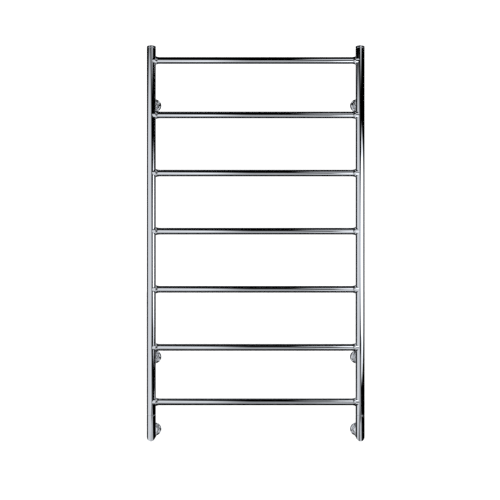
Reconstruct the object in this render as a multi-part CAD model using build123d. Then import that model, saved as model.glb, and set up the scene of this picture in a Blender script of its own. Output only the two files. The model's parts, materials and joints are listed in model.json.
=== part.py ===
from build123d import *
import os

# Ladder towel warmer for a hot-water circuit. Two posts and seven rungs stand off the wall on four
# brackets, and an elbow at the foot of each post takes the water to and from the wall.
# Millimetres. +X is right and +Z is up as seen from the room, and +Y goes into the wall.
# The wall is the plane y = 0, and the origin is the centre of the four wall screws.

# Rail
POST_RADIUS = 12.5
POST_WALL = 1.5
RUNG_RADIUS = 9.5
RUNG_WALL = 1.2
POST_SPACING = 575.0
PROJECTION = 80.0
RUNG_HEIGHTS = (470.0, 320.0, 160.0, 0.0, -160.0, -320.0, -470.0)
RUNG_END_SHORT_OF_AXIS = 4.5
TOP_OF_RAIL = 510.0
FOOT_OF_POST = -505.0
ELBOW_HEIGHT = -563.5
EDGE_CHAMFER = 0.5

# Gaps in brazed and soldered joints, in sliding fits, and round loose pieces
BRAZE_GAP = 0.05
SLIP_GAP = 0.05
LOOSE_GAP = 0.3

# Flared collars where the rungs meet the posts
COLLAR_LENGTH = 8.0
COLLAR_TIP_THICKNESS = 0.4
COLLAR_ROOT_RADIUS = 12.0

# Wall brackets. Distances off the wall are measured along -Y.
BRACKET_HEIGHT = 358.0
PEG_RADIUS = 6.0
PEG_LENGTH = 44.0
PEG_BASE_RADIUS = 8.9
PEG_BASE_THICKNESS = 4.0
WALL_SCREW_RADIUS = 2.75
SCREW_HEAD_RADIUS = 4.6
SCREW_HEAD_SEAT = 8.0
RAIL_OFF_WALL = 5.0
STEM_RADIUS = 10.0
STEM_SOCKET_RADIUS = 9.3
STEM_SOCKET_END = 9.0
STEM_BORE_END = 50.0

# Rosettes that cover the wall ends
ROSETTE_RADIUS = 18.5
ROSETTE_DEPTH = 10.0
ROSETTE_THICKNESS = 1.2
ROSETTE_LIP = 0.3

# Grub screws
GRUB_KEY_DEPTH = 2.0
WALL_GRUB_RADIUS = 2.5
WALL_GRUB_KEY = 2.5
STEM_GRUB_OFF_WALL = 27.0
NIPPLE_GRUB_OFF_WALL = 20.0
POST_GRUB_RADIUS = 2.0
POST_GRUB_KEY = 2.0
POST_GRUB_ABOVE_FOOT = 5.0
POST_GRUB_SEAT_RADIUS = 8.8

# Caps at the post tops, screwed into bushes brazed inside the posts
CAP_HEAD_HEIGHT = 6.0
CAP_EDGE_RADIUS = 2.5
CAP_SEAM = 0.8
CAP_NECK_RADIUS = 11.6
CAP_THREAD_RADIUS = 8.33
CAP_THREAD_LENGTH = 14.0
CAP_KEY = 10.0
PLUG_KEY_DEPTH = 5.0
CAP_RING_SECTION = 0.9
CAP_RING_SEAT_DEPTH = 2.0
CAP_RING_SEAT_RADIUS = 10.25

# Air vent in the left cap: turning the square-headed screw lifts a rubber seal off its seat
VENT_RECESS_DEPTH = 7.5
VENT_BORE_LENGTH = 6.5
VENT_SCREW_RADIUS = 2.95
VENT_SCREW_LENGTH = 5.2
VENT_SQUARE = 5.0
VENT_SQUARE_HEIGHT = 4.5
VENT_SEAL_RADIUS = 2.4
VENT_SEAL_HEIGHT = 1.6
VENT_SEAT_GAP = 0.03
VENT_PORT_RADIUS = 1.25
VENT_BLEED_RADIUS = 0.6
VENT_BLEED_OFFSET = 4.2
VENT_BLEED_ABOVE_SEAT = 1.3

# Elbows
ELBOW_NECK_LENGTH = 1.2
ELBOW_NECK_RADIUS = 11.7
SPIGOT_RADIUS = 10.95
SPIGOT_LENGTH = 22.0
SPIGOT_GROOVES = (11.0, 16.5)
WATERWAY_RADIUS = 8.0
ELBOW_SOCKET_END = 55.0

# Threaded nipples that join the elbows to the pipes in the wall
NIPPLE_THREAD_RADIUS = 10.48
NIPPLE_THREAD_LENGTH = 15.0
NIPPLE_RADIUS = 9.0
NIPPLE_LENGTH = 42.0
NIPPLE_WATERWAY_RADIUS = 4.5
NIPPLE_KEY = 10.0
NIPPLE_KEY_DEPTH = 10.0
NIPPLE_GROOVES = (31.0, 37.0)

# O-rings on the spigots and nipples, and the grooves that hold them
RING_SECTION = 1.0
RING_GAP = 0.02
GROOVE_WIDTH = 2.6

SIDES = {"left": -1, "right": 1}
LEVELS = {"upper": 1, "lower": -1}
BASE_CENTRED = (Align.CENTER, Align.CENTER, Align.MIN)

post_x = POST_SPACING / 2
top_of_post = TOP_OF_RAIL - CAP_HEAD_HEIGHT - CAP_SEAM
vent_floor = TOP_OF_RAIL - VENT_RECESS_DEPTH
vent_seat = vent_floor - VENT_BORE_LENGTH
vent_seal_top = vent_seat + VENT_SEAT_GAP + VENT_SEAL_HEIGHT
vent_screw_top = vent_seal_top + VENT_SCREW_LENGTH


def rod(radius, start, end):
    """A solid cylinder from one point to another."""
    along = Vector(*end) - Vector(*start)
    return Plane(origin=start, z_dir=along) * Cylinder(radius, along.length, align=BASE_CENTRED)


def prism(width, sides, start, end):
    """A solid with a regular outline of this width across its flats."""
    along = Vector(*end) - Vector(*start)
    outline = RegularPolygon(width / 2, sides, major_radius=False)
    return Plane(origin=start, z_dir=along) * extrude(outline, along.length)


def turned(lines, origin, across, along):
    """A body of revolution. In its outline, x is the radius and y is the distance along the axis."""
    section = Plane(origin=origin, x_dir=across, z_dir=Vector(*across).cross(Vector(*along)))
    return revolve(section * make_face(lines), Axis(origin, along))


def groove(base, centre):
    """Outline points of an O-ring groove in a shaft, from its lower edge to its upper one."""
    floor = base - 2 * RING_SECTION
    low = centre - GROOVE_WIDTH / 2
    high = centre + GROOVE_WIDTH / 2
    return [(base, low), (floor, low), (floor, high), (base, high)]


def shaft_ring(base, centre, direction):
    """An O-ring in a groove in a shaft. It stands out of the shaft by RING_GAP."""
    return Plane(origin=centre, z_dir=direction) * Torus(base + RING_GAP - RING_SECTION, RING_SECTION)


def grub_screw(radius, key, tip, head):
    """A headless screw with a hexagon socket, from its tip to its socket end."""
    inwards = (Vector(*tip) - Vector(*head)).normalized()
    socket_floor = Vector(*head) + inwards * GRUB_KEY_DEPTH
    return rod(radius, tip, head) - prism(key, 6, head, tuple(socket_floor))


def group(pieces):
    """Identical pieces that share one node."""
    return Compound(children=list(pieces))


def save(shape, name):
    export_step(shape, f"parts/{name}.step")


def make_post(side):
    """A tube with a hole for each rung in its inner side, and one behind for the elbow's grub screw."""
    x = side * post_x
    length = top_of_post - FOOT_OF_POST
    inner = POST_RADIUS - POST_WALL
    edge = POST_RADIUS - EDGE_CHAMFER
    outline = Polyline(
        (inner, 0),
        (edge, 0),
        (POST_RADIUS, EDGE_CHAMFER),
        (POST_RADIUS, length - EDGE_CHAMFER),
        (edge, length),
        (inner, length),
        close=True,
    )
    post = turned(outline, (x, -PROJECTION, FOOT_OF_POST), (1, 0, 0), (0, 0, 1))
    for height in RUNG_HEIGHTS:
        on_axis = (x, -PROJECTION, height)
        past_side = (x - side * 2 * POST_RADIUS, -PROJECTION, height)
        post -= rod(RUNG_RADIUS + BRAZE_GAP, on_axis, past_side)
    height = FOOT_OF_POST + POST_GRUB_ABOVE_FOOT
    past_back = (x, -PROJECTION + 2 * POST_RADIUS, height)
    return post - rod(POST_GRUB_RADIUS + SLIP_GAP, (x, -PROJECTION, height), past_back)


def make_rung(height):
    """A tube whose ends stop inside the posts."""
    reach = post_x - RUNG_END_SHORT_OF_AXIS
    left = (-reach, -PROJECTION, height)
    right = (reach, -PROJECTION, height)
    return rod(RUNG_RADIUS, left, right) - rod(RUNG_RADIUS - RUNG_WALL, left, right)


def make_collar(side, height):
    """A flared ring round a rung, saddled on the post."""
    x = side * post_x
    bore = RUNG_RADIUS + BRAZE_GAP
    tip = (RUNG_RADIUS + COLLAR_TIP_THICKNESS, POST_RADIUS + COLLAR_LENGTH)
    root = (COLLAR_ROOT_RADIUS, POST_RADIUS)
    outline = [
        TangentArc(tip, root, tangent=(0, -1)),
        Polyline(root, (COLLAR_ROOT_RADIUS, 0), (bore, 0), (bore, tip[1]), tip),
    ]
    collar = turned(outline, (x, -PROJECTION, height), (0, 0, 1), (-side, 0, 0))
    below = (x, -PROJECTION, height - 2 * COLLAR_ROOT_RADIUS)
    above = (x, -PROJECTION, height + 2 * COLLAR_ROOT_RADIUS)
    return collar - rod(POST_RADIUS + BRAZE_GAP, below, above)


def make_peg(x, z):
    """A peg screwed to the wall through its middle. The screw's head seats deep inside it."""
    base = rod(PEG_BASE_RADIUS, (x, 0, z), (x, -PEG_BASE_THICKNESS, z))
    peg = base + rod(PEG_RADIUS, (x, 0, z), (x, -PEG_LENGTH, z))
    peg -= rod(WALL_SCREW_RADIUS, (x, 0, z), (x, -PEG_LENGTH, z))
    return peg - rod(SCREW_HEAD_RADIUS, (x, -SCREW_HEAD_SEAT, z), (x, -PEG_LENGTH, z))


def make_stem(x, z):
    """A boss on the back of the post. It slides over the wall peg and has a grub screw from below."""
    wall_end = (x, -RAIL_OFF_WALL, z)
    stem = rod(STEM_RADIUS, wall_end, (x, -PROJECTION, z))
    stem -= rod(PEG_RADIUS + SLIP_GAP, wall_end, (x, -STEM_BORE_END, z))
    stem -= rod(STEM_SOCKET_RADIUS, wall_end, (x, -STEM_SOCKET_END, z))
    grub_axis = (x, -STEM_GRUB_OFF_WALL, z)
    stem -= rod(WALL_GRUB_RADIUS + SLIP_GAP, grub_axis, (x, -STEM_GRUB_OFF_WALL, z - 2 * STEM_RADIUS))
    below = (x, -PROJECTION, z - 2 * STEM_RADIUS)
    above = (x, -PROJECTION, z + 2 * STEM_RADIUS)
    return stem - rod(POST_RADIUS + BRAZE_GAP, below, above)


def make_wall_grub(x, z, off_wall, tip_radius, head_radius):
    """A grub screw under a bracket stem or an elbow, between these distances from its axis."""
    tip = (x, -off_wall, z - tip_radius)
    head = (x, -off_wall, z - head_radius)
    return grub_screw(WALL_GRUB_RADIUS, WALL_GRUB_KEY, tip, head)


def make_rosette(x, z, tube_radius):
    """A thin round cover with a rounded edge. It lies on the wall and slides along the tube."""
    bore = tube_radius + LOOSE_GAP
    bend = bore + ROSETTE_LIP
    bend_radius = ROSETTE_RADIUS - bend
    shoulder = ROSETTE_DEPTH - bend_radius
    inside = ROSETTE_RADIUS - ROSETTE_THICKNESS
    under = ROSETTE_DEPTH - ROSETTE_THICKNESS
    outline = [
        Polyline((inside, shoulder), (inside, 0), (ROSETTE_RADIUS, 0), (ROSETTE_RADIUS, shoulder)),
        TangentArc((ROSETTE_RADIUS, shoulder), (bend, ROSETTE_DEPTH), tangent=(0, 1)),
        Polyline((bend, ROSETTE_DEPTH), (bore, ROSETTE_DEPTH), (bore, under), (bend, under)),
        TangentArc((inside, shoulder), (bend, under), tangent=(0, 1)),
    ]
    return turned(outline, (x, 0, z), (1, 0, 0), (0, -1, 0))


def make_bush(x):
    """A threaded ring brazed inside the top of a post, with a seat for the cap's O-ring."""
    foot = (x, -PROJECTION, top_of_post - CAP_THREAD_LENGTH)
    top = (x, -PROJECTION, top_of_post)
    seat = (x, -PROJECTION, top_of_post - CAP_RING_SEAT_DEPTH)
    bush = rod(POST_RADIUS - POST_WALL - BRAZE_GAP, foot, top)
    bush -= rod(CAP_THREAD_RADIUS + SLIP_GAP, foot, top)
    return bush - rod(CAP_RING_SEAT_RADIUS, seat, top)


def make_cap_ring(x):
    """The O-ring under a cap's head."""
    radius = CAP_THREAD_RADIUS + SLIP_GAP + CAP_RING_SECTION
    height = top_of_post - CAP_RING_SEAT_DEPTH / 2
    return Pos(x, -PROJECTION, height) * Torus(radius, CAP_RING_SECTION)


def make_cap_blank(x):
    """A cap with a rounded head, a neck that shows as a fine seam, and a screwed shank."""
    head_base = CAP_SEAM
    head_top = CAP_SEAM + CAP_HEAD_HEIGHT
    edge_start = (POST_RADIUS, head_top - CAP_EDGE_RADIUS)
    edge_end = (POST_RADIUS - CAP_EDGE_RADIUS, head_top)
    outline = [
        Polyline(
            (0, head_top),
            (0, -CAP_THREAD_LENGTH),
            (CAP_THREAD_RADIUS, -CAP_THREAD_LENGTH),
            (CAP_THREAD_RADIUS, 0),
            (CAP_NECK_RADIUS, 0),
            (CAP_NECK_RADIUS, head_base),
            (POST_RADIUS - EDGE_CHAMFER, head_base),
            (POST_RADIUS, head_base + EDGE_CHAMFER),
            edge_start,
        ),
        TangentArc(edge_start, edge_end, tangent=(0, 1)),
        Line(edge_end, (0, head_top)),
    ]
    return turned(outline, (x, -PROJECTION, top_of_post), (1, 0, 0), (0, 0, 1))


def make_plain_cap(x):
    """A blank cap with a hexagon socket in its top."""
    floor = (x, -PROJECTION, TOP_OF_RAIL - PLUG_KEY_DEPTH)
    return make_cap_blank(x) - prism(CAP_KEY, 6, floor, (x, -PROJECTION, TOP_OF_RAIL))


def make_vent_cap(x):
    """A cap with a deep hexagon recess, the vent screw's bore, its seat and a bleed passage."""
    y = -PROJECTION
    floor = (x, y, vent_floor)
    seat = (x, y, vent_seat)
    bleed_y = y + VENT_BLEED_OFFSET
    bleed_z = vent_seat + VENT_BLEED_ABOVE_SEAT
    cap = make_cap_blank(x) - prism(CAP_KEY, 6, floor, (x, y, TOP_OF_RAIL))
    cap -= rod(VENT_SCREW_RADIUS + SLIP_GAP, seat, floor)
    cap -= rod(VENT_PORT_RADIUS, (x, y, top_of_post - CAP_THREAD_LENGTH), seat)
    cap -= rod(VENT_BLEED_RADIUS, (x, bleed_y, bleed_z), (x, bleed_y, vent_floor))
    return cap - rod(VENT_BLEED_RADIUS, (x, y, bleed_z), (x, y + 2 * CAP_THREAD_RADIUS, bleed_z))


def make_vent_seal(x):
    """The rubber disc on the vent screw's tip."""
    low = vent_seat + VENT_SEAT_GAP
    return rod(VENT_SEAL_RADIUS, (x, -PROJECTION, low), (x, -PROJECTION, vent_seal_top))


def make_vent_screw(x):
    """The vent's screw with its square head for the radiator key."""
    y = -PROJECTION
    screw = rod(VENT_SCREW_RADIUS, (x, y, vent_seal_top), (x, y, vent_screw_top))
    square_top = vent_screw_top + VENT_SQUARE_HEIGHT
    return screw + prism(VENT_SQUARE, 4, (x, y, vent_screw_top), (x, y, square_top))


def make_elbow(side):
    """A mitred elbow with a spigot up into the post and a socket over the wall nipple."""
    x = side * post_x
    corner = (x, -PROJECTION, ELBOW_HEIGHT)
    foot = FOOT_OF_POST - ELBOW_HEIGHT
    shoulder = foot - ELBOW_NECK_LENGTH
    spigot_top = foot + SPIGOT_LENGTH
    grooves = [point for above in SPIGOT_GROOVES for point in groove(SPIGOT_RADIUS, foot + above)]
    outline = Polyline(
        (0, -POST_RADIUS),
        (POST_RADIUS, -POST_RADIUS),
        (POST_RADIUS, shoulder - EDGE_CHAMFER),
        (POST_RADIUS - EDGE_CHAMFER, shoulder),
        (ELBOW_NECK_RADIUS, shoulder),
        (ELBOW_NECK_RADIUS, foot),
        (SPIGOT_RADIUS, foot),
        *grooves,
        (SPIGOT_RADIUS, spigot_top),
        (0, spigot_top),
        close=True,
    )
    upright = turned(outline, corner, (1, 0, 0), (0, 0, 1))
    wall_end = (x, -RAIL_OFF_WALL, ELBOW_HEIGHT)
    level = rod(POST_RADIUS, (x, -PROJECTION - POST_RADIUS, ELBOW_HEIGHT), wall_end)
    mitre = Plane(origin=corner, z_dir=(0, -1, 1))
    elbow = split(upright, bisect_by=mitre, keep=Keep.TOP)
    elbow += split(level, bisect_by=mitre, keep=Keep.BOTTOM)
    elbow -= rod(WATERWAY_RADIUS, corner, (x, -PROJECTION, ELBOW_HEIGHT + spigot_top))
    elbow -= rod(WATERWAY_RADIUS, corner, wall_end)
    elbow -= Pos(*corner) * Sphere(WATERWAY_RADIUS)
    elbow -= rod(NIPPLE_RADIUS + SLIP_GAP, (x, -ELBOW_SOCKET_END, ELBOW_HEIGHT), wall_end)
    grub_axis = (x, -NIPPLE_GRUB_OFF_WALL, ELBOW_HEIGHT)
    past_under = (x, -NIPPLE_GRUB_OFF_WALL, ELBOW_HEIGHT - 2 * POST_RADIUS)
    elbow -= rod(WALL_GRUB_RADIUS + SLIP_GAP, grub_axis, past_under)
    height = FOOT_OF_POST + POST_GRUB_ABOVE_FOOT
    seat = (x, -PROJECTION + POST_GRUB_SEAT_RADIUS, height)
    return elbow - rod(POST_GRUB_RADIUS + SLIP_GAP, seat, (x, -PROJECTION + 2 * POST_RADIUS, height))


def make_post_grub(side):
    """The grub screw that holds an elbow's spigot in its post, from behind."""
    height = FOOT_OF_POST + POST_GRUB_ABOVE_FOOT
    tip = (side * post_x, -PROJECTION + POST_GRUB_SEAT_RADIUS + SLIP_GAP, height)
    head = (side * post_x, -PROJECTION + POST_RADIUS - SLIP_GAP, height)
    return grub_screw(POST_GRUB_RADIUS, POST_GRUB_KEY, tip, head)


def make_nipple(side):
    """A tube with a pipe thread at its wall end and an inside hexagon at its room end."""
    origin = (side * post_x, 0, ELBOW_HEIGHT)
    grooves = [point for off_wall in NIPPLE_GROOVES for point in groove(NIPPLE_RADIUS, off_wall)]
    outline = Polyline(
        (NIPPLE_WATERWAY_RADIUS, -NIPPLE_THREAD_LENGTH),
        (NIPPLE_THREAD_RADIUS - EDGE_CHAMFER, -NIPPLE_THREAD_LENGTH),
        (NIPPLE_THREAD_RADIUS, -NIPPLE_THREAD_LENGTH + EDGE_CHAMFER),
        (NIPPLE_THREAD_RADIUS, 0),
        (NIPPLE_RADIUS, 0),
        *grooves,
        (NIPPLE_RADIUS, NIPPLE_LENGTH),
        (NIPPLE_WATERWAY_RADIUS, NIPPLE_LENGTH),
        close=True,
    )
    nipple = turned(outline, origin, (1, 0, 0), (0, -1, 0))
    key_end = (origin[0], NIPPLE_KEY_DEPTH - NIPPLE_LENGTH, ELBOW_HEIGHT)
    return nipple - prism(NIPPLE_KEY, 6, key_end, (origin[0], -NIPPLE_LENGTH, ELBOW_HEIGHT))


def spigot_rings():
    """The O-rings on both elbows' spigots."""
    for side in SIDES.values():
        for above in SPIGOT_GROOVES:
            centre = (side * post_x, -PROJECTION, FOOT_OF_POST + above)
            yield shaft_ring(SPIGOT_RADIUS, centre, (0, 0, 1))


def nipple_rings():
    """The O-rings on both wall nipples."""
    for side in SIDES.values():
        for off_wall in NIPPLE_GROOVES:
            centre = (side * post_x, -off_wall, ELBOW_HEIGHT)
            yield shaft_ring(NIPPLE_RADIUS, centre, (0, 1, 0))


def stem_grubs():
    """The grub screws under the four bracket stems."""
    for side in SIDES.values():
        for level in LEVELS.values():
            z = level * BRACKET_HEIGHT
            tip_radius = PEG_RADIUS + LOOSE_GAP
            yield make_wall_grub(side * post_x, z, STEM_GRUB_OFF_WALL, tip_radius, STEM_RADIUS - SLIP_GAP)


def nipple_grubs():
    """The grub screws under the two elbows."""
    for side in SIDES.values():
        tip_radius = NIPPLE_RADIUS + LOOSE_GAP
        head_radius = POST_RADIUS - SLIP_GAP
        yield make_wall_grub(side * post_x, ELBOW_HEIGHT, NIPPLE_GRUB_OFF_WALL, tip_radius, head_radius)


os.makedirs("parts", exist_ok=True)

for number, height in enumerate(RUNG_HEIGHTS, start=1):
    save(make_rung(height), f"rung_{number}")

for name, side in SIDES.items():
    save(make_post(side), f"{name}_post")
    save(group(make_collar(side, height) for height in RUNG_HEIGHTS), f"{name}_rung_collars")
    save(make_elbow(side), f"{name}_elbow")
    save(make_nipple(side), f"{name}_wall_nipple")
    save(make_rosette(side * post_x, ELBOW_HEIGHT, POST_RADIUS), f"{name}_elbow_rosette")

for level_name, level in LEVELS.items():
    for side_name, side in SIDES.items():
        x = side * post_x
        z = level * BRACKET_HEIGHT
        place = f"{level_name}_{side_name}"
        save(make_peg(x, z), f"{place}_wall_peg")
        save(make_stem(x, z), f"{place}_bracket_stem")
        save(make_rosette(x, z, STEM_RADIUS), f"{place}_rosette")

save(make_plain_cap(post_x), "plain_cap")
save(make_vent_cap(-post_x), "vent_cap")
save(make_vent_seal(-post_x), "vent_seal")
save(make_vent_screw(-post_x), "vent_screw")
save(group(make_bush(side * post_x) for side in SIDES.values()), "cap_bushes")
save(group(make_cap_ring(side * post_x) for side in SIDES.values()), "cap_o_rings")
save(group(spigot_rings()), "spigot_o_rings")
save(group(nipple_rings()), "nipple_o_rings")
save(group(stem_grubs()), "stem_grub_screws")
save(group(nipple_grubs()), "nipple_grub_screws")
save(group(make_post_grub(side) for side in SIDES.values()), "post_grub_screws")
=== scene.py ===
import json
import math

import bmesh
import bpy
from mathutils import Matrix, Vector
from mathutils.bvhtree import BVHTree
from mathutils.interpolate import poly_3d_calc


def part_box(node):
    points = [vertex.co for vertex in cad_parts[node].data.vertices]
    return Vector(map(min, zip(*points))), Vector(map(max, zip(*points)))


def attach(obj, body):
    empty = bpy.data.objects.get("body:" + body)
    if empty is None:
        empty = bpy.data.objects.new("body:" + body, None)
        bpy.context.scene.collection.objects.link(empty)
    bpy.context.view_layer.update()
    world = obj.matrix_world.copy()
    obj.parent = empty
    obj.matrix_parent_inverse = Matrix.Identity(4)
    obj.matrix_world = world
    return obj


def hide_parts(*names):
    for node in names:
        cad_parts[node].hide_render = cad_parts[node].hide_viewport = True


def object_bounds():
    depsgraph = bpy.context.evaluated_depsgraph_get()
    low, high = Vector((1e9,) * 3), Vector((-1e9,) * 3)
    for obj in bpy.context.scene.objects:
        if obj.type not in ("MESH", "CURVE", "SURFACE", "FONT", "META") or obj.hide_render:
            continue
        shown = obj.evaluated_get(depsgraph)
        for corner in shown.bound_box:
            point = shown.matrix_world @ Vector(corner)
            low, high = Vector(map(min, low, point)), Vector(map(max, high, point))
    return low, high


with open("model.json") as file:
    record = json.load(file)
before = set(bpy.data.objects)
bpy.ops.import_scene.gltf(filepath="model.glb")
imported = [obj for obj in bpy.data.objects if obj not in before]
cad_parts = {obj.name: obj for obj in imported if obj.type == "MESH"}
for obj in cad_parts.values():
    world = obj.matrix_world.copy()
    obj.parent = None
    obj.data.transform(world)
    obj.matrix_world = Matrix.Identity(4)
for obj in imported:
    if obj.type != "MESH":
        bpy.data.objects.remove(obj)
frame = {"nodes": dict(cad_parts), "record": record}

# Looks for the ladder towel warmer: turned and mitred chrome pieces stand for the plain CAD tubes, and the
# studio round them is a few soft cards that only glossy surfaces see.

MM = 0.001
X = Vector((1, 0, 0))
Y = Vector((0, 1, 0))
Z = Vector((0, 0, 1))
cad_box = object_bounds()
scene = bpy.context.scene


# ---------------------------------------------------------------- sizes that the boxes don't give, in mm

EDGE = 0.5
GAP = 0.05
BRACE = 0.08
POST_WALL = 1.5
RUNG_WALL = 1.2
COLLAR_TIP = 9.9
COLLAR_ROOT = 12.0
COLLAR_LENGTH = 8.0
PEG_RADIUS = 6.0
STEM_SOCKET = 9.3
STEM_SOCKET_END = 9.0
STEM_BORE_END = 50.0
STEM_GRUB_OFF_WALL = 27.0
WALL_GRUB = 2.5
SHEET = 1.2
ROSETTE_GAP = 0.3
ROSETTE_LIP = 0.3
CAP_SEAM = 0.8
CAP_NECK = 11.6
CAP_THREAD = 8.33
CAP_THREAD_LENGTH = 14.0
CAP_THREAD_DEPTH = 0.7
CAP_PITCH = 1.337
CAP_EDGE = 2.5
CAP_KEY = 10.0
PLUG_KEY_DEPTH = 5.0
PLUG_DRILL = 3.2
PLUG_DRILL_TIP = 1.4
VENT_KEY_DEPTH = 7.5
VENT_BORE_LENGTH = 6.5
VENT_SCREW = 2.95
VENT_THREAD_DEPTH = 0.35
VENT_PITCH = 0.75
VENT_SQUARE = 5.0
VENT_SQUARE_CORNER = VENT_SQUARE * 0.66
VENT_SQUARE_HEIGHT = 4.5
ELBOW_NECK = 11.7
ELBOW_NECK_LENGTH = 1.2
SPIGOT = 10.95
SPIGOT_GROOVES = (11.0, 16.5)
GROOVE_WIDTH = 2.6
GROOVE_DEPTH = 2.0
WATERWAY = 8.0
ELBOW_SOCKET_END = 55.0
NIPPLE = 9.0
NIPPLE_BORE = 4.5
NIPPLE_GROOVES = (31.0, 37.0)
NIPPLE_KEY = 10.0
NIPPLE_KEY_DEPTH = 10.0
NIPPLE_GRUB_OFF_WALL = 20.0
POST_GRUB = 2.0
POST_GRUB_ABOVE_FOOT = 5.0
POST_GRUB_SEAT = 8.8
PIPE_PITCH = 1.814
PIPE_THREAD_DEPTH = 1.16
PIPE_THREAD_STEPS = 110
SHARP_ANGLE = 30


def tube(node, along):
    """A round node's axis, radius and ends in mm, read from its box. along is the axis: 0, 1 or 2."""
    low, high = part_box(node)
    middle = (low + high) / 2 / MM
    across = 2 if along == 0 else 0
    radius = (high[across] - low[across]) / 2 / MM
    return middle, radius, low[along] / MM, high[along] / MM


# ---------------------------------------------------------------- mesh tools, in mm

def new_object(name, verts, faces):
    """A mesh object in the shared frame, smooth but for its real edges."""
    mesh = bpy.data.meshes.new(name)
    mesh.from_pydata([Vector(v) * MM for v in verts], [], faces)
    tidy = bmesh.new()
    tidy.from_mesh(mesh)
    bmesh.ops.remove_doubles(tidy, verts=tidy.verts, dist=1e-7)
    bmesh.ops.dissolve_degenerate(tidy, edges=tidy.edges, dist=1e-7)
    bmesh.ops.recalc_face_normals(tidy, faces=tidy.faces)
    tidy.to_mesh(mesh)
    tidy.free()
    mesh.shade_smooth()
    mesh.set_sharp_from_angle(angle=math.radians(SHARP_ANGLE))
    thing = bpy.data.objects.new(name, mesh)
    scene.collection.objects.link(thing)
    return thing


def skin(rings, closed=True):
    """Vertices and faces of rings of points joined in a row. A closed skin's last ring joins its first."""
    count = len(rings[0])
    verts = [p for ring in rings for p in ring]
    faces = []
    rows = len(rings) if closed else len(rings) - 1
    for i in range(rows):
        j = (i + 1) % len(rings)
        for k in range(count):
            m = (k + 1) % count
            faces.append((i * count + k, i * count + m, j * count + m, j * count + k))
    return verts, faces


def brace(columns, closed):
    """Rings of points from columns of them, with a ring added just inside each end of a long run that meets a
    rounded edge, so that the edge's shading doesn't spread along the run."""
    count = len(columns[0])
    spans = count if closed else count - 1
    lengths = [max((c[(i + 1) % count] - c[i]).length for c in columns) for i in range(spans)]
    rings = []
    for i in range(count):
        rings.append([column[i] for column in columns])
        if i == spans:
            break
        before = lengths[i - 1] if closed or i > 0 else 0.0
        after = lengths[(i + 1) % spans] if closed or i + 1 < spans else 0.0
        shares = []
        if lengths[i] > max(1.0, 3 * before):
            shares.append(BRACE)
        if lengths[i] > max(1.0, 3 * after):
            shares.append(-BRACE)
        for inset in shares:
            ring = []
            for column in columns:
                step = column[(i + 1) % count] - column[i]
                share = min(0.25, abs(inset) / max(step.length, BRACE))
                ring.append(column[i] + step * (share if inset > 0 else 1 - share))
            rings.append(ring)
    return rings


def spin(name, outline, origin, across, along, segments=128, closed=True):
    """A body of revolution. The outline is a list of (radius, distance), or gives one for each angle."""
    third = along.cross(across)
    columns = []
    for k in range(segments):
        angle = 2 * math.pi * k / segments
        outward = across * math.cos(angle) + third * math.sin(angle)
        points = outline(angle) if callable(outline) else outline
        columns.append([origin + outward * r + along * h for r, h in points])
    return new_object(name, *skin(brace(columns, closed), closed))


def rod(name, radius, start, end, segments=48):
    """A plain round bar, used to cut holes."""
    along = Vector(end) - Vector(start)
    length = along.length
    along.normalize()
    across = X if abs(along.x) < 0.5 else Z
    outline = [(0, 0), (radius, 0), (radius, length), (0, length)]
    return spin(name, outline, Vector(start), across, along, segments, closed=False)


def bend(centre, radius, start, end, steps):
    """Points along an arc of an outline, between two angles in degrees."""
    points = []
    for i in range(steps + 1):
        angle = math.radians(start + (end - start) * i / steps)
        points.append((centre[0] + radius * math.cos(angle), centre[1] + radius * math.sin(angle)))
    return points


def groove(radius, middle):
    """An O-ring groove's four points in an outline."""
    start = middle - GROOVE_WIDTH / 2
    end = middle + GROOVE_WIDTH / 2
    floor_radius = radius - GROOVE_DEPTH
    return [(radius, start), (floor_radius, start), (floor_radius, end), (radius, end)]


def surface(mesh, sign):
    """A mesh's faces with the normal at each corner, to look up smooth shading in."""
    verts = [v.co.copy() for v in mesh.vertices]
    faces = [tuple(p.vertices) for p in mesh.polygons]
    corners = [[mesh.corner_normals[i].vector * sign for i in p.loop_indices] for p in mesh.polygons]
    return BVHTree.FromPolygons(verts, faces), verts, faces, corners


def cut(piece, tools):
    """Cuts holes, then gives each face the smooth shading of the surface that it was part of."""
    sources = [surface(piece.data, 1)] + [surface(tool.data, -1) for tool in tools]
    for tool in tools:
        step = piece.modifiers.new("cut", "BOOLEAN")
        step.operation = "DIFFERENCE"
        step.solver = "EXACT"
        step.object = tool
    ready = piece.evaluated_get(bpy.context.evaluated_depsgraph_get())
    mesh = bpy.data.meshes.new_from_object(ready)
    piece.modifiers.clear()
    piece.data = mesh
    for tool in tools:
        bpy.data.objects.remove(tool)
    mesh.shade_smooth()
    normals = [Vector((0, 0, 1)) for _ in mesh.loops]
    for face in mesh.polygons:
        found = None
        for tree, verts, faces, corners in sources:
            place, direction, index, distance = tree.find_nearest(face.center)
            if abs(direction.dot(face.normal)) > 0.9 and (found is None or distance < found[0]):
                found = (distance, [verts[v] for v in faces[index]], corners[index])
        for loop in face.loop_indices:
            normals[loop] = face.normal.copy()
            if found:
                point = mesh.vertices[mesh.loops[loop].vertex_index].co
                weights = poly_3d_calc(found[1], point)
                normals[loop] = sum((n * w for n, w in zip(found[2], weights)), Vector()).normalized()
    mesh.normals_split_custom_set(normals)
    return piece


def join(name, things):
    """Several objects' meshes in one object."""
    mesh = bpy.data.meshes.new(name)
    whole = bmesh.new()
    for thing in things:
        whole.from_mesh(thing.data)
        bpy.data.objects.remove(thing)
    whole.to_mesh(mesh)
    whole.free()
    joined = bpy.data.objects.new(name, mesh)
    scene.collection.objects.link(joined)
    return joined


# ---------------------------------------------------------------- camera, straight on and level

LENS = 57.5
SENSOR = 36.0
FRAMING = (-0.0114, -0.0304)
EYE = (0.0, -2.28, -0.01)

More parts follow.
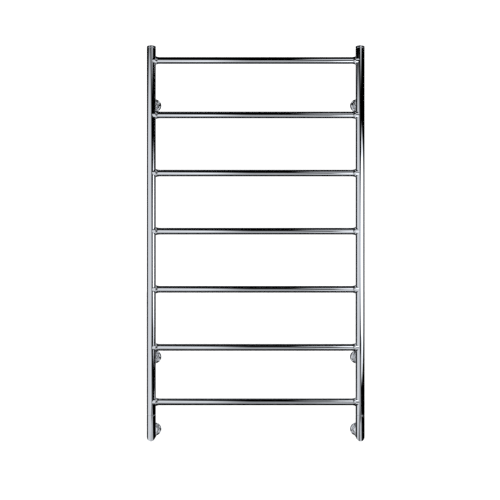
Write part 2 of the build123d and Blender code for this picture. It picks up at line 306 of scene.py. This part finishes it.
camera_data = bpy.data.cameras.new("camera")
camera_data.lens = LENS
camera_data.sensor_width = SENSOR
camera_data.shift_x = FRAMING[0]
camera_data.shift_y = FRAMING[1]
camera_data.clip_end = 50.0
camera = bpy.data.objects.new("camera", camera_data)
camera.location = EYE
camera.rotation_euler = (math.radians(90), 0.0, 0.0)
scene.collection.objects.link(camera)
scene.camera = camera
scene.view_settings.view_transform = "Standard"


# ---------------------------------------------------------------- materials

slots = {m["slot"]: m for m in frame["record"]["materials"]}


class Maker:
    """Short calls for building a material's nodes."""

    def __init__(self, name):
        self.material = bpy.data.materials.new(name)
        self.material.use_nodes = True
        self.nodes = self.material.node_tree.nodes
        self.links = self.material.node_tree.links
        self.nodes.clear()

    def add(self, kind, inputs=None, **settings):
        node = self.nodes.new(kind)
        for key, value in settings.items():
            setattr(node, key, value)
        for key, value in (inputs or {}).items():
            if isinstance(value, bpy.types.NodeSocket):
                self.links.new(value, node.inputs[key])
            else:
                node.inputs[key].default_value = value
        return node

    def stretched(self, scale):
        """Object coordinates scaled differently along each axis, per metre."""
        where = self.add("ShaderNodeTexCoord").outputs["Object"]
        return self.add("ShaderNodeMapping", {"Vector": where, "Scale": scale}).outputs["Vector"]

    def noise(self, vector, scale=1.0, detail=3.0, rough=0.5):
        inputs = {"Vector": vector, "Scale": scale, "Detail": detail, "Roughness": rough}
        return self.add("ShaderNodeTexNoise", inputs).outputs["Fac"]

    def spread(self, value, low, high, to_low, to_high, smooth=False):
        """A value between two levels, moved to between two others and held there."""
        inputs = {"Value": value, "From Min": low, "From Max": high, "To Min": to_low, "To Max": to_high}
        kind = "SMOOTHSTEP" if smooth else "LINEAR"
        return self.add("ShaderNodeMapRange", inputs, interpolation_type=kind).outputs["Result"]

    def sum(self, first, second, operation="ADD"):
        return self.add("ShaderNodeMath", {0: first, 1: second}, operation=operation).outputs[0]

    def mix(self, factor, first, second):
        node = self.add("ShaderNodeMix", data_type="RGBA")
        sockets = [s for s in node.inputs if s.type == "RGBA"]
        self.links.new(factor, node.inputs[0])
        sockets[0].default_value = first
        sockets[1].default_value = second
        return next(s for s in node.outputs if s.type == "RGBA")

    def bump(self, height, distance, strength=1.0, under=None):
        inputs = {"Height": height, "Distance": distance, "Strength": strength}
        if under is not None:
            inputs["Normal"] = under
        return self.add("ShaderNodeBump", inputs).outputs["Normal"]

    def finish(self, **inputs):
        named = {key.replace("_", " "): value for key, value in inputs.items()}
        shader = self.add("ShaderNodeBsdfPrincipled", named)
        self.add("ShaderNodeOutputMaterial", {"Surface": shader.outputs["BSDF"]})
        return self.material


def rgba(slot, scale=1.0):
    return [c * scale for c in slots[slot]["base_color"]] + [1.0]


def chrome(name, slot, grain, waves):
    """Polished chrome plate. grain is how fine the polishing marks are along each axis, per metre, and waves
    is the same for the slow unevenness of the metal under the plate."""
    make = Maker(name)
    plain = make.stretched((1, 1, 1))
    marks = make.noise(make.stretched(grain), detail=4.0, rough=0.6)
    unevenness = make.noise(make.stretched(waves), detail=1.0)
    smears = make.noise(plain, scale=34.0, detail=5.0, rough=0.62)
    specks = make.noise(plain, scale=620.0, detail=2.0)
    hairlines = make.spread(make.noise(make.stretched([g * 0.45 for g in grain]), detail=6.0, rough=0.7),
                            0.66, 0.72, 0.0, 1.0, smooth=True)
    edges = make.add("ShaderNodeNewGeometry").outputs["Pointiness"]
    worn = make.spread(edges, 0.53, 0.62, 0.0, 1.0, smooth=True)
    film = make.spread(smears, 0.5, 0.78, 0.0, 0.055, smooth=True)
    roughness = make.sum(make.sum(make.spread(marks, 0.3, 0.7, 0.018, 0.04), film),
                         make.sum(make.spread(hairlines, 0, 1, 0, 0.05), make.spread(worn, 0, 1, 0, 0.07)))
    colour = make.mix(make.sum(worn, make.spread(smears, 0.6, 0.85, 0.0, 0.35)),
                      rgba(slot), rgba(slot, 0.9))
    shape = make.bump(unevenness, 0.00001)
    shape = make.bump(marks, 0.0000003, under=shape)
    shape = make.bump(hairlines, 0.0000001, under=shape)
    shape = make.bump(specks, 0.0000002, under=shape)
    return make.finish(Base_Color=colour, Metallic=1.0, Roughness=roughness, Normal=shape)


chrome_upright = chrome("chrome_upright", "chrome_tube", (1500, 1500, 22), (30, 30, 3))
chrome_level = chrome("chrome_level", "chrome_tube", (22, 1500, 1500), (3, 30, 30))
chrome_fitting = chrome("chrome_fitting", "chrome_fitting", (900, 160, 900), (35, 35, 35))
chrome_sheet = chrome("chrome_sheet", "chrome_rosette", (700, 700, 700), (60, 60, 60))


def machined(name, slot, low, high, tarnish):
    """Turned or drawn metal with tool marks, a patchy darker film and smoother rubbed edges."""
    make = Maker(name)
    plain = make.stretched((1, 1, 1))
    tool = make.noise(make.stretched((500, 2600, 2600)), detail=3.0)
    patches = make.noise(plain, scale=160.0, detail=5.0, rough=0.65)
    edges = make.add("ShaderNodeNewGeometry").outputs["Pointiness"]
    worn = make.spread(edges, 0.5, 0.6, 0.0, 1.0, smooth=True)
    film = make.spread(patches, 0.42, 0.7, 0.0, 1.0, smooth=True)
    roughness = make.sum(make.spread(tool, 0.3, 0.7, low, high), make.spread(film, 0, 1, 0, 0.14))
    roughness = make.sum(roughness, make.spread(worn, 0, 1, 0, 0.08), "SUBTRACT")
    colour = make.mix(film, rgba(slot), rgba(slot, tarnish))
    shape = make.bump(tool, 0.000008)
    shape = make.bump(patches, 0.000006, under=shape)
    return make.finish(Base_Color=colour, Metallic=1.0, Roughness=roughness, Normal=shape)


brass = machined("brass", "brass", 0.24, 0.36, 0.62)
stainless = machined("stainless", "stainless", 0.26, 0.4, 0.8)


def moulded_rubber():
    make = Maker("rubber")
    plain = make.stretched((1, 1, 1))
    fine = make.noise(plain, scale=2400.0, detail=3.0)
    dust = make.noise(plain, scale=240.0, detail=5.0, rough=0.7)
    bloom = make.spread(dust, 0.5, 0.75, 0.0, 1.0, smooth=True)
    colour = make.mix(bloom, rgba("rubber"), rgba("rubber", 1.9))
    roughness = make.spread(dust, 0.3, 0.7, 0.52, 0.74)
    return make.finish(Base_Color=colour, Roughness=roughness, Normal=make.bump(fine, 0.00001))


rubber = moulded_rubber()


def finish_as(piece, material, slot, body, *nodes):
    """Gives a new piece its material and its body, and hides the CAD nodes that it stands for."""
    piece.data.materials.clear()
    piece.data.materials.append(material)
    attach(piece, body)
    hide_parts(*nodes)


# ---------------------------------------------------------------- the ladder

RUNGS = sorted(n for n in frame["nodes"] if n.startswith("rung_"))
SIDES = {"left": -1, "right": 1}
PLACES = [f"{level}_{side}" for level in ("upper", "lower") for side in SIDES]


def make_post(side):
    """A tube with a hole for each rung, and one behind for the elbow's grub screw."""
    middle, radius, foot, top = tube(f"{side}_post", 2)
    inner = radius - POST_WALL
    inwards = -SIDES[side]
    length = top - foot
    outline = [(inner, 0)] + bend((radius - EDGE, EDGE), EDGE, -90, 0, 5)
    outline += bend((radius - EDGE, length - EDGE), EDGE, 0, 90, 5) + [(inner, length)]
    origin = Vector((middle.x, middle.y, foot))
    post = spin(f"{side}_post_tube", outline, origin, X, Z, 144)
    holes = []
    for node in RUNGS:
        rung, rung_radius, _, _ = tube(node, 0)
        start = Vector((middle.x, middle.y, rung.z))
        holes.append(rod("hole", rung_radius + GAP, start, start + X * inwards * radius * 2, 96))
    start = origin + Z * POST_GRUB_ABOVE_FOOT
    holes.append(rod("hole", POST_GRUB + GAP, start, start + Y * radius * 2))
    finish_as(cut(post, holes), chrome_upright, "chrome_tube", "rail", f"{side}_post")


def make_rung(node):
    """An open-ended tube."""
    middle, radius, start, end = tube(node, 0)
    inner = radius - RUNG_WALL
    length = end - start
    outline = [(inner, 0), (radius - 0.2, 0), (radius, 0.2), (radius, length - 0.2), (radius - 0.2, length),
               (inner, length)]
    rung = spin(f"{node}_tube", outline, Vector((start, middle.y, middle.z)), Z, X, 128)
    finish_as(rung, chrome_level, "chrome_tube", "rail", node)


def make_collars(side):
    """The flared rings that join the rungs to a post, each cut to fit round it."""
    middle, post_radius, _, _ = tube(f"{side}_post", 2)
    saddle = post_radius + GAP
    collars = []
    for node in RUNGS:
        rung, radius, _, _ = tube(node, 0)
        bore = radius + GAP
        tip_at = post_radius + COLLAR_LENGTH
        rise = COLLAR_ROOT - COLLAR_TIP
        sweep = (COLLAR_LENGTH ** 2 + rise ** 2) / (2 * rise)
        widest = math.degrees(math.asin(COLLAR_LENGTH / sweep))
        flare = bend((COLLAR_TIP + sweep, tip_at), sweep, 180, 180 + widest, 14)

        def outline(angle, bore=bore, flare=flare, tip_at=tip_at):
            # the angle starts at the front or back of the post, where the saddle reaches furthest round it
            root = math.sqrt(saddle ** 2 - (COLLAR_ROOT * math.cos(angle)) ** 2)
            inside = math.sqrt(saddle ** 2 - (bore * math.cos(angle)) ** 2)
            steps = [(COLLAR_ROOT, root + (flare[-1][1] - root) * i / 4) for i in range(4)]
            rim = []
            for i in range(1, 4):
                r = bore + (COLLAR_ROOT - bore) * i / 4
                rim.append((r, math.sqrt(saddle ** 2 - (r * math.cos(angle)) ** 2)))
            return [(bore, inside)] + rim + steps + flare[::-1] + [(bore, tip_at)]

        origin = Vector((middle.x, middle.y, rung.z))
        collars.append(spin("collar", outline, origin, Y, X * -SIDES[side], 128))
    whole = join(f"{side}_rung_flares", collars)
    finish_as(whole, chrome_fitting, "chrome_tube", "rail", f"{side}_rung_collars")


# ---------------------------------------------------------------- caps

def hexagon(width, angle):
    """Distance from a hexagon's middle to its outline, at an angle from one of its corners."""
    return width / 2 / math.cos((angle % math.radians(60)) - math.radians(30))


def square(width, rounding, angle):
    """The same for a square with its corners turned down a little, at an angle from one of its corners."""
    return min(width / 2 / math.cos((angle % math.radians(90)) - math.radians(45)), rounding)


def make_cap(side, node, key_depth, vented):
    """A rounded cap over a fine seam, with a hexagon recess and a screwed shank."""
    middle, _, _, top = tube(node, 2)
    _, radius, _, post_top = tube(f"{side}_post", 2)
    head = top - post_top
    shank = [(CAP_THREAD - 0.8, -CAP_THREAD_LENGTH), (CAP_THREAD, -CAP_THREAD_LENGTH + 0.8)]
    root = CAP_THREAD - CAP_THREAD_DEPTH
    h = -CAP_THREAD_LENGTH + 1.6
    while h < -3.0:
        shank += [(CAP_THREAD, h), (root, h + CAP_PITCH * 0.45), (CAP_THREAD, h + CAP_PITCH * 0.9)]
        h += CAP_PITCH
    body = shank + [(CAP_THREAD, 0), (CAP_NECK, 0), (CAP_NECK, CAP_SEAM), (radius - EDGE, CAP_SEAM)]
    body += bend((radius - EDGE, CAP_SEAM + EDGE), EDGE, -60, 0, 4)
    body += bend((radius - CAP_EDGE, head - CAP_EDGE), CAP_EDGE, 0, 90, 14)
    bore = VENT_SCREW + GAP

    def outline(angle):
        recess = hexagon(CAP_KEY, angle)
        floor = head - key_depth
        points = [(0, -CAP_THREAD_LENGTH)] + body + [(recess + 0.35, head), (recess, head - 0.35)]
        points += [(recess, floor + 0.3), (recess - 0.3, floor)]
        if vented:
            return points + [(bore + 0.25, floor), (bore, floor - 0.25), (bore, floor - VENT_BORE_LENGTH),
                             (0, floor - VENT_BORE_LENGTH)]
        return points + [(PLUG_DRILL, floor), (0, floor - PLUG_DRILL_TIP)]

    origin = Vector((middle.x, middle.y, post_top))
    cap = spin(f"{node}_head", outline, origin, X, Z, 144, closed=False)
    finish_as(cap, chrome_fitting, "chrome_fitting", "rail", node)


def make_vent_screw():
    """The air vent's screw: a square head with turned-down corners, on a threaded shank."""
    middle, _, start, end = tube("vent_screw", 2)
    length = end - start
    shank_end = length - VENT_SQUARE_HEIGHT
    thread = [(VENT_SCREW - 0.4, 0), (VENT_SCREW, 0.4)]
    root = VENT_SCREW - VENT_THREAD_DEPTH
    h = 0.7
    while h < shank_end - 1.0:
        thread += [(VENT_SCREW, h), (root, h + 0.3), (VENT_SCREW, h + 0.6)]
        h += VENT_PITCH
    thread += [(VENT_SCREW, shank_end)]

    def outline(angle):
        side = square(VENT_SQUARE, VENT_SQUARE_CORNER, angle)
        head = [(side, shank_end), (side, length - 0.3), (side - 0.3, length), (0, length)]
        return [(0, 0)] + thread + head

    screw = spin("vent_screw_turned", outline, Vector((middle.x, middle.y, start)), X, Z, 96, closed=False)
    finish_as(screw, brass, "brass", "vent_screw", "vent_screw")


# ---------------------------------------------------------------- wall brackets, elbows and rosettes

def make_stem(place):
    """A boss from the back of the post to the wall, bored for the wall peg and drilled for a grub screw."""
    node = f"{place}_bracket_stem"
    middle, radius, _, wall_end = tube(node, 1)
    post, post_radius, _, _ = tube("left_post" if "left" in place else "right_post", 2)
    saddle = post_radius + GAP
    reach = wall_end - post.y
    bore = PEG_RADIUS + GAP

    def outline(angle):
        # distances are from the wall end towards the post
        points = [(0, STEM_BORE_END + wall_end), (bore, STEM_BORE_END + wall_end)]
        points += [(bore, STEM_SOCKET_END + wall_end), (STEM_SOCKET, STEM_SOCKET_END + wall_end)]
        points += [(STEM_SOCKET, 0.2), (STEM_SOCKET + 0.2, 0), (radius - 0.2, 0), (radius, 0.2)]
        for r in (radius, radius * 0.75, radius * 0.5, radius * 0.25, 0):
            points.append((r, reach - math.sqrt(saddle ** 2 - (r * math.cos(angle)) ** 2)))
        return points

    stem = spin(f"{node}_turned", outline, Vector((middle.x, wall_end, middle.z)), X, -Y, 128, closed=False)
    start = Vector((middle.x, -STEM_GRUB_OFF_WALL, middle.z))
    hole = rod("hole", WALL_GRUB + GAP, start, start - Z * radius * 2)
    finish_as(cut(stem, [hole]), chrome_fitting, "chrome_fitting", "rail", node)


def make_rosette(node, tube_radius):
    """A thin cover, rounded from its rim to a small lip round the tube."""
    middle, radius, _, _ = tube(node, 0)
    low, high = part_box(node)
    depth = (high.y - low.y) / MM
    bore = tube_radius + ROSETTE_GAP
    lip = bore + ROSETTE_LIP
    turn = radius - lip
    shoulder = depth - turn
    inside = radius - SHEET
    outline = [(inside, 0.15), (inside + 0.15, 0), (radius - 0.3, 0)]
    outline += bend((radius - 0.3, 0.3), 0.3, -60, 0, 3)
    outline += bend((lip, shoulder), turn, 0, 90, 24)
    outline += [(bore + 0.1, depth), (bore, depth - 0.1), (bore, depth - SHEET)]
    for degrees in range(90, -1, -6):
        angle = math.radians(degrees)
        outline.append((lip + (inside - lip) * math.cos(angle),
                        shoulder + (depth - SHEET - shoulder) * math.sin(angle)))
    rosette = spin(f"{node}_cover", outline, Vector((middle.x, high.y / MM, middle.z)), X, -Y, 144)
    finish_as(rosette, chrome_sheet, "chrome_rosette", node, node)


def make_elbow(side):
    """A mitred elbow: a spigot and collar up into the post, and a socket over the nipple at the wall."""
    node = f"{side}_elbow"
    low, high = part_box(node)
    post, radius, foot_z, _ = tube(f"{side}_post", 2)
    centre = Vector((post.x, post.y, low.z / MM + radius))
    foot = foot_z - centre.z
    shoulder = foot - ELBOW_NECK_LENGTH
    wall_end = high.y / MM - centre.y
    top = high.z / MM - centre.z
    socket_end = -ELBOW_SOCKET_END - centre.y
    grooves = []
    for above in SPIGOT_GROOVES:
        grooves += groove(SPIGOT, foot + above)
    outer = [(SPIGOT - 0.5, top), (SPIGOT, top - 0.5)] + grooves[::-1]
    outer += [(SPIGOT, foot), (ELBOW_NECK, foot), (ELBOW_NECK, shoulder), (radius - EDGE, shoulder)]
    outer += bend((radius - EDGE, shoulder - EDGE), EDGE, 60, 0, 4)
    columns = []
    segments = 144
    for k in range(segments):
        angle = 2 * math.pi * k / segments
        out = Vector((math.cos(angle), math.sin(angle)))

        def upright(r, h, out=out):
            return centre + Vector((r * out.x, r * out.y, h))

        def level(r, d, out=out):
            return centre + Vector((r * out.x, d, r * out.y))

        column = [upright(r, h) for r, h in outer]
        column.append(upright(radius, radius * out.y))
        column += [level(radius, wall_end - 0.3), level(radius - 0.3, wall_end)]
        column += [level(NIPPLE + GAP + 0.3, wall_end), level(NIPPLE + GAP, wall_end - 0.3)]
        column += [level(NIPPLE + GAP, socket_end), level(WATERWAY, socket_end)]
        column += [upright(WATERWAY, WATERWAY * out.y), upright(WATERWAY, top)]
        columns.append(column)
    elbow = new_object(f"{node}_cast", *skin(brace(columns, True)))
    start = Vector((centre.x, -NIPPLE_GRUB_OFF_WALL, centre.z))
    holes = [rod("hole", WALL_GRUB + GAP, start, start - Z * radius * 2)]
    start = Vector((centre.x, centre.y + POST_GRUB_SEAT, foot_z + POST_GRUB_ABOVE_FOOT))
    holes.append(rod("hole", POST_GRUB + GAP, start, start + Y * radius))
    finish_as(cut(elbow, holes), chrome_fitting, "chrome_fitting", "rail", node)


def make_nipple(side):
    """The brass tube that screws into the pipe in the wall, with a real pipe thread and O-ring grooves."""
    node = f"{side}_wall_nipple"
    low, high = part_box(node)
    middle, crest, _, thread_end = tube(node, 1)
    room_end = -low.y / MM
    root = crest - PIPE_THREAD_DEPTH
    grooves = []
    for off_wall in NIPPLE_GROOVES:
        grooves += groove(NIPPLE, off_wall)

    def outline(angle):
        points = [(NIPPLE_BORE, -thread_end), (root - 0.4, -thread_end)]
        for i in range(PIPE_THREAD_STEPS + 1):
            h = -thread_end + 0.15 + (thread_end - 0.3) * i / PIPE_THREAD_STEPS
            turn = (h / PIPE_PITCH - angle / (2 * math.pi)) % 1.0
            ridge = max(0.0, min(1.0, 1.5 - abs(turn - 0.5) * 4.0))
            fade = max(0.0, min(1.0, (h + thread_end) / 1.2, (-h - 0.4) / 1.2))
            points.append((root + (crest - root) * (ridge * fade if h < -1.6 else 0.0), h))
        points += [(root, -0.05), (NIPPLE, 0)] + grooves
        points += [(NIPPLE, room_end - 0.6), (NIPPLE - 0.6, room_end)]
        key = hexagon(NIPPLE_KEY, angle)
        key_floor = room_end - NIPPLE_KEY_DEPTH
        return points + [(key + 0.3, room_end), (key, room_end - 0.3), (key, key_floor),
                         (NIPPLE_BORE, key_floor - 0.4)]

    nipple = spin(f"{node}_turned", outline, Vector((middle.x, 0, middle.z)), X, -Y, 96)
    finish_as(nipple, brass, "brass", "wall_fixings", node)


for name in SIDES:
    make_post(name)
    make_collars(name)
    make_elbow(name)
    make_nipple(name)
    make_rosette(f"{name}_elbow_rosette", tube(f"{name}_post", 2)[1])
for name in RUNGS:
    make_rung(name)
for name in PLACES:
    make_stem(name)
    make_rosette(f"{name}_rosette", tube(f"{name}_bracket_stem", 1)[1])
make_cap("right", "plain_cap", PLUG_KEY_DEPTH, vented=False)
make_cap("left", "vent_cap", VENT_KEY_DEPTH, vented=True)
make_vent_screw()

carried = {"brass": brass, "stainless": stainless, "rubber": rubber}
for part in frame["record"]["subparts"]:
    thing = frame["nodes"][part["node"]]
    if part["material_slot"] in carried:
        thing.data.materials.clear()
        thing.data.materials.append(carried[part["material_slot"]])


# ---------------------------------------------------------------- floor and light

def plate(name, centre, across, up):
    """A flat four-sided plate given by its centre and its half sides. Its own x and y run from -1 to 1."""
    mesh = bpy.data.meshes.new(name)
    mesh.from_pydata([(-1, -1, 0), (1, -1, 0), (1, 1, 0), (-1, 1, 0)], [], [(0, 1, 2, 3)])
    thing = bpy.data.objects.new(name, mesh)
    scene.collection.objects.link(thing)
    facing = across.cross(up).normalized()
    columns = (across, up, facing, centre)
    thing.matrix_world = Matrix([[c[i] for c in columns] for i in range(3)] + [[0, 0, 0, 1]])
    return thing


DAYLIGHT = (0.955, 0.985, 1.03, 1.0)
CARD_REACH = 2.5
FLOOR_BELOW = 0.45
FLOOR_REACH = 12
FLOOR_PALE = (0.93, 0.93, 0.93, 1.0)
FLOOR_PALER = (0.96, 0.96, 0.96, 1.0)


def light(make, shape, level):
    """Finishes a card's material from its light's shape and strength. It hides no card behind it."""
    power = make.sum(shape, level, "MULTIPLY")
    lit = make.add("ShaderNodeEmission", {"Color": DAYLIGHT, "Strength": power})
    clear = make.add("ShaderNodeBsdfTransparent")
    both = make.add("ShaderNodeAddShader", {0: lit.outputs["Emission"], 1: clear.outputs["BSDF"]})
    make.add("ShaderNodeOutputMaterial", {"Surface": both.outputs["Shader"]})
    return make.material


def glossy_only(thing):
    """Keeps a card to the reflections: it neither shows nor casts a shadow."""
    thing.visible_camera = False
    thing.visible_diffuse = False
    thing.visible_transmission = False
    thing.visible_shadow = False


def card(name, centre, across, up, strength, soft):
    """A soft-edged card of light. soft is the faded share of each half side."""
    make = Maker(name)
    split = make.add("ShaderNodeSeparateXYZ", {"Vector": make.add("ShaderNodeTexCoord").outputs["Object"]})
    side = make.sum(split.outputs["X"], 0.0, "ABSOLUTE")
    height = make.sum(split.outputs["Y"], 0.0, "ABSOLUTE")
    shape = make.sum(make.spread(side, 1.0 - soft[0], 1.0, 1.0, 0.0, smooth=True),
                     make.spread(height, 1.0 - soft[1], 1.0, 1.0, 0.0, smooth=True), "MULTIPLY")
    thing = plate(name, Vector(centre), Vector(across), Vector(up))
    thing.data.materials.append(light(make, shape, strength))
    glossy_only(thing)


def round_card(name, centre, half_width, half_height, strength, soft):
    """The same for an upright oval. soft is the faded share of its half width and half height."""
    make = Maker(name)
    where = make.add("ShaderNodeTexCoord").outputs["Object"]
    length = make.add("ShaderNodeVectorMath", {0: where}, operation="LENGTH").outputs["Value"]
    shape = make.spread(length, 1.0 - soft, 1.0, 1.0, 0.0, smooth=True)
    thing = plate(name, Vector(centre), X * half_width, Z * half_height)
    thing.data.materials.append(light(make, shape, strength))
    glossy_only(thing)


def standing_card(name, left, right, bottom, top, bottom_fade, top_fade, crisp, ends, strength):
    """A tall card between two places on the plan, as seen from the rack. bottom, top, bottom_fade and strength
    are pairs for its left and right. Its top fades over top_fade's first height at crisp, a share of its
    length, and over more the further it is from there, up to the second height a whole length away."""
    start = Vector((left[0], left[1], 0))
    across = (Vector((right[0], right[1], 0)) - start) / 2
    length = across.length * 2
    make = Maker(name)
    where = make.add("ShaderNodeTexCoord").outputs["Object"]
    split = make.add("ShaderNodeSeparateXYZ", {"Vector": where})
    share = make.spread(split.outputs["X"], -1.0, 1.0, 0.0, 1.0)
    height = make.sum(split.outputs["Y"], CARD_REACH, "MULTIPLY")
    low = make.spread(share, 0.0, 1.0, *bottom)
    low_full = make.sum(low, make.spread(share, 0.0, 1.0, *bottom_fade))
    high = make.spread(share, 0.0, 1.0, *top)
    away = make.sum(make.sum(share, crisp, "SUBTRACT"), 0.0, "ABSOLUTE")
    high_full = make.sum(high, make.spread(away, 0.0, 1.0, *top_fade), "SUBTRACT")
    shape = make.sum(make.spread(height, low, low_full, 0.0, 1.0, smooth=True),
                     make.spread(height, high_full, high, 1.0, 0.0, smooth=True), "MULTIPLY")
    left_end = make.spread(share, 0.0, ends[0] / length, 0.0, 1.0, smooth=True)
    right_end = make.spread(share, 1.0 - ends[1] / length, 1.0, 1.0, 0.0, smooth=True)
    shape = make.sum(make.sum(shape, left_end, "MULTIPLY"), right_end, "MULTIPLY")
    level = make.spread(share, 0.0, 1.0, *strength)
    thing = plate(name, start + across, across, Z * CARD_REACH)
    thing.data.materials.append(light(make, shape, level))
    glossy_only(thing)


# The numbers of the next nine cards, light_wall to far_floor_glow, weren't chosen by hand. A least-squares
# fit of a reflection model to the brightness across the tubes gave them, and they were rounded to 0.05.

# the room's light wall, on the left and round to the camera
standing_card("light_wall", (-1.0, -0.05), (0.0, -1.65), bottom=(-1.2, -0.8), top=(0.65, 0.85),
              bottom_fade=(0.4, 0.15), top_fade=(0.1, 1.6), crisp=0.35, ends=(0.25, 0.45),
              strength=(0.8, 0.85))
# the tall softbox on the right, with its round left end
standing_card("softbox", (0.55, -0.65), (2.8, -0.55), bottom=(-0.55, -0.65), top=(0.4, 0.4),
              bottom_fade=(0.05, 0.2), top_fade=(0.1, 0.1), crisp=0.0, ends=(0.05, 0.05),
              strength=(1.45, 1.6))
round_card("softbox_end", (0.6, -0.65, -0.05), 0.35, 0.35, 1.1, soft=0.15)
# the fill behind the camera
round_card("fill", (0.05, -2.0, -0.2), 0.5, 0.55, 0.35, soft=1.0)
# two lamps above the camera
round_card("lamp_1", (0.6, -2.6, 1.5), 0.4, 0.7, 1.05, soft=0.4)
round_card("lamp_2", (0.8, -1.45, 1.25), 0.35, 0.6, 0.8, soft=0.4)
# what the floor in front sends up
round_card("low_glow", (0.5, -1.9, -1.35), 0.25, 0.75, 0.45, soft=0.45)
card("floor_glow", (0.7, -2.15, -1.3), (1.4, 0, 0), (0, 1.35, 0), 0.5, soft=(0.3, 0.15))
card("far_floor_glow", (0.0, -4.9, -1.25), (0.7, 0, 0), (0, 1.6, 0), 0.4, soft=(0.55, 0.35))
# the room behind, seen from the back
standing_card("back_wall", (0.85, 2.3), (-0.85, 2.3), bottom=(-1.3, -1.3), top=(1.2, 1.2),
              bottom_fade=(0.4, 0.4), top_fade=(0.4, 0.4), crisp=0.5, ends=(0.35, 0.35), strength=(0.8, 0.9))

# banks of light high and low on both sides, for the slanting views
for name in SIDES:
    for level, height in (("high", 2.2), ("low", -1.9)):
        card(f"{name}_{level}_bank", (SIDES[name] * 1.5, 0.3, height), (0.85, 0, 0), (0, 1.9, 0), 0.7,
             soft=(0.3, 0.25))

floor = plate("floor", Vector((0, 0, cad_box[0].z - FLOOR_BELOW)), X * FLOOR_REACH, Y * FLOOR_REACH)
floor.visible_glossy = False
make = Maker("floor")
grain = make.noise(make.stretched((9, 9, 9)), detail=4.0)
paint = make.mix(grain, FLOOR_PALE, FLOOR_PALER)
floor.data.materials.append(make.finish(Base_Color=paint, Roughness=0.9))

world = bpy.data.worlds.new("studio")
world.use_nodes = True
world.node_tree.nodes["Background"].inputs["Color"].default_value = (1.0, 1.0, 1.0, 1.0)
world.node_tree.nodes["Background"].inputs["Strength"].default_value = 1.25
world.cycles_visibility.glossy = False
scene.world = world
